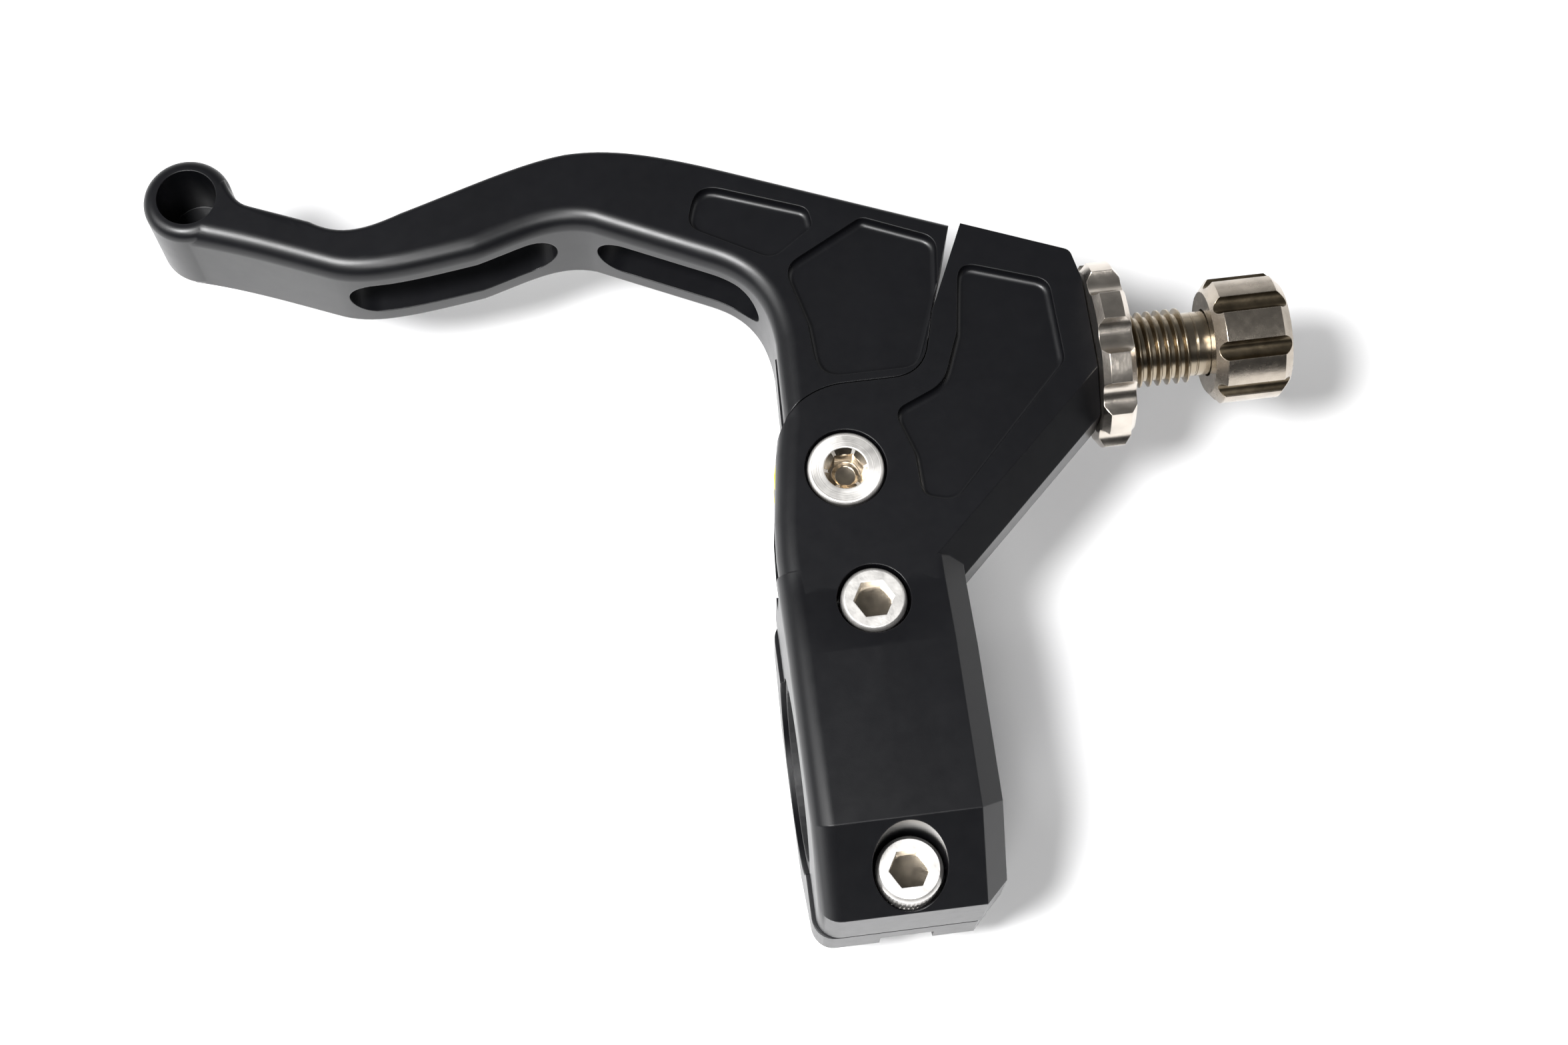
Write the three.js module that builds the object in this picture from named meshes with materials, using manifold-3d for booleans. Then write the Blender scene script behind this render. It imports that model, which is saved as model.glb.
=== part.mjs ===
// Short two-finger clutch lever on its perch, with the handlebar clamp and the cable adjuster.
// Millimetres, +Z up. The origin is the centre of the handlebar bore: +X runs along the bar
// towards the middle of the motorcycle, +Y forwards from the bar to the lever, and +Z along the
// lever's pivot, away from the ground.
import * as THREE from 'three';
import { mergeVertices } from 'three/addons/utils/BufferGeometryUtils.js';
import Module from 'manifold-3d';

const wasm = await Module();
wasm.setup();

// ---------------------------------------------------------------- driving dimensions

const BAR_R = 11.1;             // radius of a 22.2 mm handlebar
const SLEEVE_R = 12.4;          // outside of the split sleeve round the bar
const HOUSING_R = 12.7;         // bore through the two clamp halves
const CLAMP_HALF_GAP = 0.2;     // half of the gap between the clamp halves
const CLAMP_END_Y = 21.4;       // flat end walls of the clamp
const CLAMP_X = [-11.5, 12.1];
const CAP_X = [-12.0, 11.7];
const CLAMP_TOP_Z = 20.7;
const CLAMP_EDGE = 2.9;         // round on the left edges, chamfer on the right ones
const BOLT_Y = 16.5;            // the two clamp bolts stand at plus and minus this

const TOP_Z = 19.2;             // common top face of the lever and the perch
const PLATE_T = 13.6;           // thickness of the perch
const LEVER_T = 15.1;           // thickness of the lever
const MID_Z = TOP_Z - PLATE_T / 2;
const PIVOT = [-1.1, 34.2];
const SLOT_H = 6.6;             // slot in the perch for the lever's tang
const TANG_T = 4.4;
const HUB_R = 9.0;
const JOINT_GAP = 0.3;          // gap between the lever's edge and the perch's edge

const CABLE_Y = 48.4;           // the cable and the adjuster share this line, at MID_Z
const FACE_X = 32.9;            // end face of the perch that carries the adjuster
const THREAD_R = 4.9;
const SCREW_INNER_X = 24.0;
const ADJUSTER_BORE_X = 17.4;
const NECK_R = 4.2;
const NECK_X = 45.6;
const SCREW_END_X = 53.0;
const CABLE_HOLE_R = 1.4;
const WHEEL_R = 12.2;
const WHEEL_X = [33.2, 37.9];
const KNOB_R = 8.2;
const CUP_BORE_R = 4.5;         // mouth of the knob, which holds the housing's cup
const KNOB_X = [48.7, 58.8];

const TIP = [-81.7, 82.4];
const TIP_R = 5.85;
const TIP_HOLE_R = 3.9;
const TIP_HOLE_FLOOR_Z = 8.7;   // the tip's hole is blind

const BEARING_BORE_R = 3.05;
const BEARING_OUTER_R = 6.5;
const BEARING_T = 4.0;
const BALL_PITCH_R = 4.75;
const BALL_R = 0.9;
const BALL_COUNT = 8;

const HIGH = 60;                // longer than any piece, for cutters
const PART_GAP = 0.1;           // gap between pieces that bear on each other

// ---------------------------------------------------------------- materials

const finish = (color, roughness, metalness) =>
  new THREE.MeshStandardMaterial({ color, roughness, metalness });

const BLACK_ANODISED = finish(0x17181a, 0.45, 0.6);
const STAINLESS = finish(0xb9b6b0, 0.3, 1.0);
const ADJUSTER_STEEL = finish(0x9c948a, 0.35, 1.0);
const BEARING_STEEL = finish(0xc4c6c8, 0.2, 1.0);
const BLACK_NYLON = finish(0x101011, 0.7, 0.0);
const YELLOW_ACETAL = finish(0xe2c21c, 0.5, 0.0);
const BLUE_NYLON = finish(0x2b4f9e, 0.6, 0.0);

// ---------------------------------------------------------------- solids

function solid(geometry) {
  const bare = geometry.clone();
  bare.deleteAttribute('normal');
  bare.deleteAttribute('uv');
  const merged = mergeVertices(bare, 1e-4);
  return new wasm.Manifold(new wasm.Mesh({
    numProp: 3,
    vertProperties: new Float32Array(merged.attributes.position.array),
    triVerts: new Uint32Array(merged.index.array),
  }));
}

function geometryOf(manifold) {
  const mesh = manifold.getMesh();
  const geometry = new THREE.BufferGeometry();
  geometry.setAttribute('position', new THREE.BufferAttribute(new Float32Array(mesh.vertProperties), 3));
  geometry.setIndex(new THREE.BufferAttribute(new Uint32Array(mesh.triVerts), 1));
  geometry.computeVertexNormals();
  return geometry;
}

// A closed outline through [x, y] or [x, y, radius] corners. A corner with a radius is rounded.
function roundedShape(corners) {
  const shape = new THREE.Shape();
  const count = corners.length;
  corners.forEach(([x, y, radius = 0], i) => {
    const [px, py] = corners[(i + count - 1) % count];
    const [nx, ny] = corners[(i + 1) % count];
    const here = new THREE.Vector2(x, y);
    const back = new THREE.Vector2(px - x, py - y).normalize();
    const ahead = new THREE.Vector2(nx - x, ny - y).normalize();
    const reach = radius / Math.tan(Math.acos(back.dot(ahead)) / 2);
    const start = here.clone().addScaledVector(back, reach);
    const end = here.clone().addScaledVector(ahead, reach);
    if (i === 0) shape.moveTo(start.x, start.y);
    else shape.lineTo(start.x, start.y);
    if (radius > 0) shape.quadraticCurveTo(x, y, end.x, end.y);
  });
  shape.closePath();
  return shape;
}

// An upright prism from z0 to z1, whose top and bottom edges may be bevelled inwards.
function prism(shape, z0, z1, { bevel = 0, steps = 1, curve = 5 } = {}) {
  const geometry = new THREE.ExtrudeGeometry(shape, {
    depth: z1 - z0 - 2 * bevel,
    bevelEnabled: bevel > 0,
    bevelThickness: bevel,
    bevelSize: bevel,
    bevelOffset: -bevel,
    bevelSegments: steps,
    curveSegments: curve,
  });
  geometry.translate(0, 0, z0 + bevel);
  return solid(geometry);
}

// A solid of revolution about Z from [radius, z] points, in order round its section.
function turned(points, sides = 32) {
  const profile = points.map(([r, z]) => new THREE.Vector2(r, z));
  const geometry = new THREE.LatheGeometry(profile, sides);
  geometry.rotateX(Math.PI / 2);
  return solid(geometry);
}

function disc(radius, z0, z1, sides = 32) {
  return turned([[0, z0], [radius, z0], [radius, z1], [0, z1]], sides);
}

function tube(inner, outer, z0, z1, sides = 32) {
  return turned([[inner, z0], [outer, z0], [outer, z1], [inner, z1], [inner, z0]], sides);
}

function hexagon(acrossFlats, z0, z1) {
  return disc(acrossFlats / Math.sqrt(3), z0, z1, 6);
}

const at = (manifold, x, y, z = 0) => manifold.translate([x, y, z]);

// Turns a piece built about Z so that its Z lies along X.
const alongX = (manifold) => manifold.rotate([0, 90, 0]);

const cut = (body, cutters) => cutters.reduce((left, cutter) => left.subtract(cutter), body);

const join = (pieces) => pieces.reduce((whole, piece) => whole.add(piece));

// ---------------------------------------------------------------- shared outlines

// Everything on the perch's side of the line where the lever meets the perch. The line comes down
// the wedge-shaped gap, turns along the top of the pivot and rounds it to the left.
function perchSide(shift, wedgeTopX) {
  const arcCentre = new THREE.Vector2(0.3, 35.2);
  const arcR = 10.55 + shift;
  const arcEnd = THREE.MathUtils.degToRad(152);
  const shape = new THREE.Shape();
  shape.moveTo(wedgeTopX, 70);
  shape.lineTo(12.95 - shift, 54.6);
  shape.lineTo(11.6 - shift, 49.6);
  shape.quadraticCurveTo(10.5 - shift, arcCentre.y + arcR, 6.6, arcCentre.y + arcR);
  shape.lineTo(arcCentre.x, arcCentre.y + arcR);
  shape.absarc(arcCentre.x, arcCentre.y, arcR, Math.PI / 2, arcEnd, false);
  shape.lineTo(-30, 32);
  shape.lineTo(-30, -40);
  shape.lineTo(60, -40);
  shape.lineTo(60, 70);
  shape.closePath();
  return shape;
}

// ---------------------------------------------------------------- lever

const FINGER_ROUND = 2.6;
const OUTER_ROUND = 0.8;
const TIP_ROUND = 1.6;
const LEVER_BOTTOM_Z = TOP_Z - LEVER_T;

// The finger edge, from the tip to the perch. Both blade outlines below share it.
function addFingerEdge(shape) {
  shape.bezierCurveTo(-76.0, 74.9, -70.0, 72.0, -64.0, 69.5);
  shape.bezierCurveTo(-59.5, 67.8, -54.0, 68.6, -45.0, 69.9);
  shape.bezierCurveTo(-39.5, 71.4, -34.5, 73.8, -29.6, 72.0);
  shape.lineTo(-14.6, 64.8);
  shape.bezierCurveTo(-10.2, 62.6, -7.9, 59.4, -7.6, 53.0);
}

// The outer edge from the perch to the tip, then back along the finger edge.
function bladeOutline() {
  const shape = new THREE.Shape();
  shape.moveTo(18.2, 65.9);
  shape.lineTo(-10.3, 77.5);
  shape.bezierCurveTo(-20, 81.5, -26, 83.2, -32, 82.9);
  shape.bezierCurveTo(-38, 82.4, -46, 79.4, -54.1, 77.0);
  shape.bezierCurveTo(-58.5, 75.4, -62, 74.4, -66, 77.2);
  shape.lineTo(-73.6, 80.4);
  shape.bezierCurveTo(-75.2, 81.0, -75.9, 82.3, -76.6, 84.6);
  shape.lineTo(-80.0, 84.0);
  shape.lineTo(-83.7, 77.1);
  addFingerEdge(shape);
  shape.lineTo(-8.5, 38.0);
  shape.lineTo(24, 38.0);
  shape.closePath();
  return shape;
}

// A region larger than the blade everywhere but along the finger edge.
function fingerRegion() {
  const shape = new THREE.Shape();
  shape.moveTo(-110, 120);
  shape.lineTo(-110, 86.7);
  shape.lineTo(-83.7, 77.1);
  addFingerEdge(shape);
  shape.lineTo(-8.5, 20.0);
  shape.lineTo(60, 20.0);
  shape.lineTo(60, 120);
  shape.closePath();
  return shape;
}

// The finger side has a wide round along its top and the outer side a small round all along: the
// blade is what two prisms share, one with each edge. The round tip is joined to it.
function bladeSolid() {
  const tip = new THREE.Shape();
  tip.absarc(TIP[0], TIP[1], TIP_R, 0, 2 * Math.PI, false);
  const outerEdge = { bevel: OUTER_ROUND, steps: 2, curve: 7 };
  const fingerEdge = { bevel: FINGER_ROUND, steps: 4, curve: 7 };
  const tipEdge = { bevel: TIP_ROUND, steps: 3, curve: 20 };
  return prism(bladeOutline(), LEVER_BOTTOM_Z, TOP_Z, outerEdge)
    .intersect(prism(fingerRegion(), LEVER_BOTTOM_Z - 2 * FINGER_ROUND, TOP_Z, fingerEdge))
    .add(prism(tip, LEVER_BOTTOM_Z, TOP_Z, tipEdge));
}

// The two slots run through the blade, square to its length: their middles, widths and turn.
const SLOT_OPENING_H = 8.0;
const SLOT_OPENING_Z = 11.3;
const LONG_SLOT = { middle: [-48.4, 75.0], width: 28.0, turn: 0 };
const SHORT_SLOT = { middle: [-16.4, 72.2], width: 23.4, turn: -22 };

function slotCutter({ middle, width, turn }) {
  const endR = SLOT_OPENING_H / 2;
  const half = width / 2 - endR;
  const shape = new THREE.Shape();
  shape.moveTo(-half, -endR);
  shape.lineTo(half, -endR);
  shape.absarc(half, 0, endR, -Math.PI / 2, Math.PI / 2, false);
  shape.lineTo(-half, endR);
  shape.absarc(-half, 0, endR, Math.PI / 2, 1.5 * Math.PI, false);
  const bar = prism(shape, -HIGH / 2, HIGH / 2, { curve: 8 }).rotate([90, 0, 0]);
  return at(bar.rotate([0, 0, turn]), ...middle, SLOT_OPENING_Z);
}

const POCKET_DEPTH = 1.4;

const leverLargePocket = roundedShape([
  [-5.4, 62.9, 3], [5.6, 68.8, 1.6], [15.0, 64.7, 2.6], [14.0, 57.0, 3],
  [10.2, 46.9, 3], [-2.9, 46.9, 3.6], [-3.3, 54.6, 5],
]);

const leverSmallPocket = roundedShape([
  [-17.2, 70.2, 2.4], [-15.3, 76.3, 3.2], [-1.2, 71.0, 1.8], [-0.8, 68.3, 1.3],
  [-6.6, 64.2, 2.8],
]);

const NIPPLE = [4.6, 50.2];
const NIPPLE_R = 3.1;
const NIPPLE_TOP_Z = 15.6;

function makeLever() {
  const meeting = prism(perchSide(JOINT_GAP / 2, 18.15), -HIGH, HIGH, { curve: 8 });
  const blade = bladeSolid().subtract(meeting);
  const tangShape = roundedShape([
    [-7.8, 52], [-8.2, 41], [PIVOT[0] - HUB_R + 0.2, PIVOT[1]], [7.6, PIVOT[1]], [9.0, 45.0, 1], [9.0, 52],
  ]);
  const tangZ = [MID_Z - TANG_T / 2, MID_Z + TANG_T / 2];
  const hub = at(disc(HUB_R, tangZ[0], tangZ[1], 40), ...PIVOT);
  const tang = prism(tangShape, tangZ[0], tangZ[1]);
  const cableSlot = roundedShape([
    [NIPPLE[0], CABLE_Y - 1.3], [20, CABLE_Y - 1.3], [20, CABLE_Y + 1.3], [NIPPLE[0], CABLE_Y + 2.4],
  ]);
  return cut(join([blade, tang, hub]), [
    at(disc(BEARING_OUTER_R + PART_GAP, -HIGH, HIGH, 36), ...PIVOT),
    at(disc(TIP_HOLE_R, TIP_HOLE_FLOOR_Z, HIGH, 32), ...TIP),
    slotCutter(LONG_SLOT),
    slotCutter(SHORT_SLOT),
    prism(leverLargePocket, TOP_Z - POCKET_DEPTH, HIGH, { curve: 4 }),
    prism(leverSmallPocket, TOP_Z - POCKET_DEPTH, HIGH, { curve: 4 }),
    at(disc(NIPPLE_R, -HIGH, NIPPLE_TOP_Z, 24), ...NIPPLE),
    prism(cableSlot, -HIGH, MID_Z + 1.4),
  ]);
}

// ---------------------------------------------------------------- perch

const DIAGONAL_CHAMFER = 3.8;
const LEFT_ROUND = 2.8;

// Plan of the plate round the pivot and the adjuster, down to the clamp.
function plateShape() {
  return roundedShape([
    [14.0, 68.1], [32.0, 60.8, 1.4], [FACE_X, 56.5, 2], [FACE_X, 38.9], [11.9, 19.2],
    [11.9, 12], [-11.2, 12], [-11.2, 24], [-10.9, 28.6], [-9.6, 37.5], [-8.6, 42], [-8.6, 70],
  ]);
}

// Regions that are larger than the plate but for one edge, whose top and bottom are bevelled.
function leftRoundGuard() {
  const shape = roundedShape([
    [60, -30], [60, 90], [-8.6, 90], [-8.6, 42], [-9.6, 37.5], [-10.9, 28.6], [-11.2, 24], [-11.2, -30],
  ]);
  return prism(shape, TOP_Z - PLATE_T, TOP_Z, { bevel: LEFT_ROUND, steps: 4 });
}

function diagonalGuard() {
  const shape = roundedShape([
    [-60, 90], [-60, -30], [11.9, -30], [11.9, 19.2], [53.2, 57.83], [53.2, 90],
  ]);
  return prism(shape, TOP_Z - PLATE_T, TOP_Z, { bevel: DIAGONAL_CHAMFER });
}

// Side view of the upper clamp half, extruded along the bar. Its left edges are rounded and its
// right edges chamfered, so it is joined from two lengths.
const CLAMP_SIDE_VIEW = [
  [-CLAMP_END_Y, -10], [-CLAMP_END_Y, 10.8], [-11.5, CLAMP_TOP_Z], [10.0, CLAMP_TOP_Z],
  [18.2, TOP_Z], [CLAMP_END_Y, TOP_Z], [CLAMP_END_Y + 12, TOP_Z], [CLAMP_END_Y + 12, -10],
];

function clampBlock(sideView, [x0, x1], [zLow, zHigh]) {
  const shape = roundedShape(sideView);
  const [roundEnded, chamfered] = [4, 1].map((steps) =>
    prism(shape, x0, x1, { bevel: CLAMP_EDGE, steps }).rotate([90, 0, 0]).rotate([0, 0, 90]));
  const leftHalf = box(x0 - 1, -HIGH, zLow, 1, CLAMP_END_Y, zHigh);
  const rightHalf = box(-1, -HIGH, zLow, x1 + 1, CLAMP_END_Y, zHigh);
  return roundEnded.intersect(leftHalf).add(chamfered.intersect(rightHalf));
}

function box(x0, y0, z0, x1, y1, z1) {
  const geometry = new THREE.BoxGeometry(x1 - x0, y1 - y0, z1 - z0);
  geometry.translate((x0 + x1) / 2, (y0 + y1) / 2, (z0 + z1) / 2);
  return solid(geometry);
}

const perchPocket = roundedShape([
  [17.2, 60.9, 2.2], [28.6, 56.9, 2.4], [28.9, 45.4, 2.4], [12.2, 28.2, 3], [8.0, 29.4, 2],
  [7.9, 35.0, 4], [6.0, 41.2, 2], [12.9, 44.2, 5], [15.6, 51.0, 3],
]);

const PERCH_POCKET_DEPTH = 1.0;
const BOLT_HEAD_R = 4.15;
const BOLT_R = 2.5;
const BOLT_HEAD_H = 5.0;
const UPPER_HEAD_TOP_Z = 19.6;
const LOWER_HEAD_TOP_Z = 14.1;
const PIVOT_HEAD_R = 4.9;
const PIVOT_HEAD_H = 1.8;
const PIVOT_SHANK_R = 2.95;

// Clearance hole with a flat-floored recess for the bolt's head.
function boltRecess(y, headTopZ) {
  const floor = headTopZ - BOLT_HEAD_H - PART_GAP;
  return at(disc(BOLT_R + 0.2, -HIGH, HIGH, 20).add(disc(BOLT_HEAD_R + 0.5, floor, HIGH, 32)), 0, y);
}

function makePerch() {
  const plate = prism(plateShape(), TOP_Z - PLATE_T, TOP_Z, { curve: 4 })
    .intersect(leftRoundGuard())
    .intersect(diagonalGuard())
    .intersect(prism(perchSide(-JOINT_GAP / 2, 20.1), -HIGH, HIGH, { curve: 8 }));
  const clamp = clampBlock(CLAMP_SIDE_VIEW, CLAMP_X, [CLAMP_HALF_GAP, HIGH]);
  const tangSlot = roundedShape([
    [-30, 19.6], [-8.5, 19.6], [-4.6, 23.4, 1.5], [5.2, 23.6, 3], [9.2, 28.4, 4], [9.4, 38.0],
    [10.6, 46.0], [10.6, 60], [-30, 60],
  ]);
  const slotZ = [MID_Z - SLOT_H / 2, MID_Z + SLOT_H / 2];
  const adjusterBore = alongX(disc(THREAD_R + PART_GAP, ADJUSTER_BORE_X, HIGH, 32));
  const pivotHole = disc(PIVOT_SHANK_R + 0.15, -HIGH, HIGH, 24)
    .add(disc(PIVOT_HEAD_R + 0.35, TOP_Z - PIVOT_HEAD_H - PART_GAP, HIGH, 40))
    .add(hexagon(10.4, -HIGH, TOP_Z - PLATE_T + 1.4));
  return cut(plate.add(clamp), [
    alongX(disc(HOUSING_R, -HIGH, HIGH, 48)),
    prism(tangSlot, slotZ[0], slotZ[1], { curve: 4 }),
    prism(perchPocket, TOP_Z - PERCH_POCKET_DEPTH, HIGH, { curve: 4 }),
    at(pivotHole, ...PIVOT),
    boltRecess(BOLT_Y, UPPER_HEAD_TOP_Z),
    boltRecess(-BOLT_Y, LOWER_HEAD_TOP_Z),
    at(adjusterBore, 0, CABLE_Y, MID_Z),
    box(8, CABLE_Y - 1.5, -HIGH, ADJUSTER_BORE_X + 1, CABLE_Y + 1.5, MID_Z + 1.5),
  ]);
}

// ---------------------------------------------------------------- clamp cap and bar sleeve

const CAP_END_Z = -6.9;
const CAP_BOTTOM_Z = -17.2;
const CAP_NOTCH_W = 6.9;

const CAP_SIDE_VIEW = [
  [-CLAMP_END_Y, 10], [-CLAMP_END_Y, CAP_END_Z], [-11.4, CAP_BOTTOM_Z], [11.4, CAP_BOTTOM_Z],
  [CLAMP_END_Y, CAP_END_Z], [CLAMP_END_Y, 10],
];

function makeCap() {
  const block = clampBlock(CAP_SIDE_VIEW, CAP_X, [-HIGH, -CLAMP_HALF_GAP]);
  const notchTop = CAP_END_Z + 3.2;
  return cut(block, [
    alongX(disc(HOUSING_R, -HIGH, HIGH, 48)),
    at(disc(BOLT_R + 0.2, -HIGH, HIGH, 20), 0, BOLT_Y),
    at(disc(BOLT_R + 0.2, -HIGH, HIGH, 20), 0, -BOLT_Y),
    box(-CAP_NOTCH_W / 2, -HIGH, -HIGH, CAP_NOTCH_W / 2, -14.2, notchTop),
    box(-CAP_NOTCH_W / 2, 14.2, -HIGH, CAP_NOTCH_W / 2, HIGH, notchTop),
  ]);
}

function makeSleeveHalf(side) {
  const ring = alongX(tube(BAR_R, SLEEVE_R, CLAMP_X[0] + 0.2, CLAMP_X[1] - 0.2, 48));
  const keep = side > 0 ? [0.2, HIGH] : [-HIGH, -0.2];
  return ring.intersect(box(-HIGH, -HIGH, keep[0], HIGH, HIGH, keep[1]));
}

// ---------------------------------------------------------------- fasteners

// Socket-head cap screw about Z, head top at z = 0.
function makeSocketBolt(shankLength) {
  const head = turned([
    [0, -BOLT_HEAD_H], [BOLT_HEAD_R, -BOLT_HEAD_H], [BOLT_HEAD_R, -0.4], [BOLT_HEAD_R - 0.4, 0], [0, 0],
  ], 32);
  const shank = disc(BOLT_R - 0.05, -BOLT_HEAD_H - shankLength, -BOLT_HEAD_H + 0.5, 24);
  return head.add(shank).subtract(hexagon(4.0, -2.6, 1));
}

// Low flat head with a countersunk hex socket, plain shank through the bearing, nut below.
function makePivotBolt() {
  const head = turned([
    [0, -PIVOT_HEAD_H], [PIVOT_HEAD_R, -PIVOT_HEAD_H], [PIVOT_HEAD_R, -0.3], [PIVOT_HEAD_R - 0.3, 0], [0, 0],
  ], 40);
  const shank = disc(PIVOT_SHANK_R, -18.8, -PIVOT_HEAD_H + 0.3, 24);
  const countersink = turned([[0, -0.8], [2.1, -0.8], [3.0, 0.1], [0, 0.1]], 32);
  return cut(head.add(shank), [countersink, hexagon(4.0, -3.2, 0)]);
}

const NUT_TOP_Z = TOP_Z - PLATE_T + 1.3;
const NUT_H = 4.6;

function makeLockNut() {
  const body = hexagon(10.0, NUT_TOP_Z - NUT_H, NUT_TOP_Z)
    .add(disc(4.6, NUT_TOP_Z - NUT_H - 1.6, NUT_TOP_Z - NUT_H + 0.2, 32));
  return cut(body, [
    disc(PIVOT_SHANK_R + PART_GAP, -HIGH, HIGH, 24),
    disc(3.95, NUT_TOP_Z - NUT_H - 1.2, NUT_TOP_Z - NUT_H + 0.1, 24),
    disc(3.6, NUT_TOP_Z - NUT_H - 2, NUT_TOP_Z - NUT_H - 1, 24),
  ]);
}

function makeNutInsert() {
  return tube(PIVOT_SHANK_R + PART_GAP, 3.85, NUT_TOP_Z - NUT_H - 1.1, NUT_TOP_Z - NUT_H, 24);
}

// ---------------------------------------------------------------- pivot bearing

const RACE_GROOVE_R = BALL_R + 0.1;
const INNER_RACE_R = 4.15;
const OUTER_RACE_R = 5.35;

// Points of the groove that the balls run in, cut into a race of the given radius.
function groove(raceR, upwards) {
  const reach = Math.acos(Math.abs(raceR - BALL_PITCH_R) / RACE_GROOVE_R);
  const inward = raceR < BALL_PITCH_R ? -1 : 1;
  return [-1, -0.5, 0, 0.5, 1].map((step) => {
    const angle = step * reach * (upwards ? 1 : -1);
    return [BALL_PITCH_R + inward * RACE_GROOVE_R * Math.cos(angle), RACE_GROOVE_R * Math.sin(angle)];
  });
}

function makeInnerRace() {
  const half = BEARING_T / 2;
  const ring = [
    [BEARING_BORE_R, -half], [INNER_RACE_R, -half], ...groove(INNER_RACE_R, true), [INNER_RACE_R, half],
    [BEARING_BORE_R, half], [BEARING_BORE_R, -half],
  ];
  return turned(ring, 32);
}

function makeOuterRace() {
  const half = BEARING_T / 2;
  const ring = [
    [OUTER_RACE_R, -half], [BEARING_OUTER_R, -half], [BEARING_OUTER_R, half], [OUTER_RACE_R, half],
    ...groove(OUTER_RACE_R, false), [OUTER_RACE_R, -half],
  ];
  return turned(ring, 36);
}

// The balls in their cage, joined where the cage clasps them.
function makeBallSet() {
  const cage = tube(BALL_PITCH_R - 0.25, BALL_PITCH_R + 0.25, -0.5, 0.5, 32);
  const ball = solid(new THREE.SphereGeometry(BALL_R, 12, 8));
  const balls = Array.from({ length: BALL_COUNT }, (_, i) => {
    const angle = (2 * Math.PI * i) / BALL_COUNT;
    return at(ball, BALL_PITCH_R * Math.cos(angle), BALL_PITCH_R * Math.sin(angle));
  });
  return join([cage, ...balls]);
}

// ---------------------------------------------------------------- cable adjuster, about its own Z

// A turned blank with round lobes between scallops: the scallops are circles set outside the rim.
function lobedSolid({ radius, ends: [z0, z1], chamfer, lobes, phase, scallopR, scallopDepth }) {
  const blank = turned([
    [0, z0], [radius - chamfer, z0], [radius, z0 + chamfer], [radius, z1 - chamfer], [radius - chamfer, z1],
    [0, z1],
  ], 48);
  const reach = radius + scallopR - scallopDepth;
  const scallops = Array.from({ length: lobes }, (_, i) => {
    const angle = THREE.MathUtils.degToRad(phase + (360 * i) / lobes);
    return at(disc(scallopR, z0 - 1, z1 + 1, 20), reach * Math.cos(angle), reach * Math.sin(angle));
  });
  return cut(blank, scallops);
}

function makeLockWheel() {
  const rim = lobedSolid({
    radius: WHEEL_R, ends: WHEEL_X, chamfer: 0.9, lobes: 9, phase: 31.5, scallopR: 2.6, scallopDepth: 1.6,
  });
  return rim.subtract(disc(THREAD_R + PART_GAP, 0, HIGH + 20, 32));
}

function makeKnob() {
  const grip = lobedSolid({
    radius: KNOB_R, ends: KNOB_X, chamfer: 1.3, lobes: 8, phase: 32.8, scallopR: 1.2, scallopDepth: 0.9,
  });
  return cut(grip, [
    disc(NECK_R + 0.25, 0, SCREW_END_X + 0.3, 32),
    disc(CUP_BORE_R, SCREW_END_X + 0.2, HIGH + 20, 32),
  ]);
}

// Hollow screw: threaded stretch with open grooves where it stands clear of the perch, then a neck.
function makeScrew() {
  const pitch = 1.25;
  const root = THREAD_R - 0.7;
  const firstGroove = WHEEL_X[1] + 0.35;
  const grooves = Array.from({ length: 5 }, (_, i) => {
    const z = firstGroove + i * pitch;
    return [[THREAD_R, z], [root, z + pitch * 0.45], [root, z + pitch * 0.55], [THREAD_R, z + pitch - 0.05]];
  }).flat();
  return turned([
    [CABLE_HOLE_R, SCREW_INNER_X], [THREAD_R - 0.6, SCREW_INNER_X], [THREAD_R, SCREW_INNER_X + 0.6],
    ...grooves, [NECK_R, NECK_X], [NECK_R, SCREW_END_X], [CABLE_HOLE_R, SCREW_END_X],
    [CABLE_HOLE_R, SCREW_INNER_X],
  ], 32);
}

const CUP_INNER_R = 3.4;

// Cup that seats the end of the cable's housing. It stays still while the screw turns round it.
function makeHousingSeat() {
  const cupX = SCREW_END_X + 0.5;
  const cupR = CUP_BORE_R - PART_GAP;
  return turned([
    [CABLE_HOLE_R, cupX], [cupR, cupX], [cupR, KNOB_X[1] - 0.2], [CUP_INNER_R, KNOB_X[1] - 0.2],
    [CUP_INNER_R, cupX + 0.8], [CABLE_HOLE_R, cupX + 0.8], [CABLE_HOLE_R, cupX],
  ], 32);
}

// ---------------------------------------------------------------- assembly

const assembly = new THREE.Group();

function place(parent, name, manifold, material, position = [0, 0, 0]) {
  const mesh = new THREE.Mesh(geometryOf(manifold), material);
  mesh.name = name;
  mesh.position.set(...position);
  parent.add(mesh);
}

place(assembly, 'perch_body', makePerch(), BLACK_ANODISED);
place(assembly, 'clamp_cap', makeCap(), BLACK_ANODISED);
place(assembly, 'bar_sleeve_upper', makeSleeveHalf(1), BLACK_NYLON);
place(assembly, 'bar_sleeve_lower', makeSleeveHalf(-1), BLACK_NYLON);
place(assembly, 'lever', makeLever(), BLACK_ANODISED);
place(assembly, 'clamp_bolt_front', makeSocketBolt(20), STAINLESS, [0, BOLT_Y, UPPER_HEAD_TOP_Z]);
place(assembly, 'clamp_bolt_rear', makeSocketBolt(15), STAINLESS, [0, -BOLT_Y, LOWER_HEAD_TOP_Z]);

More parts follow.
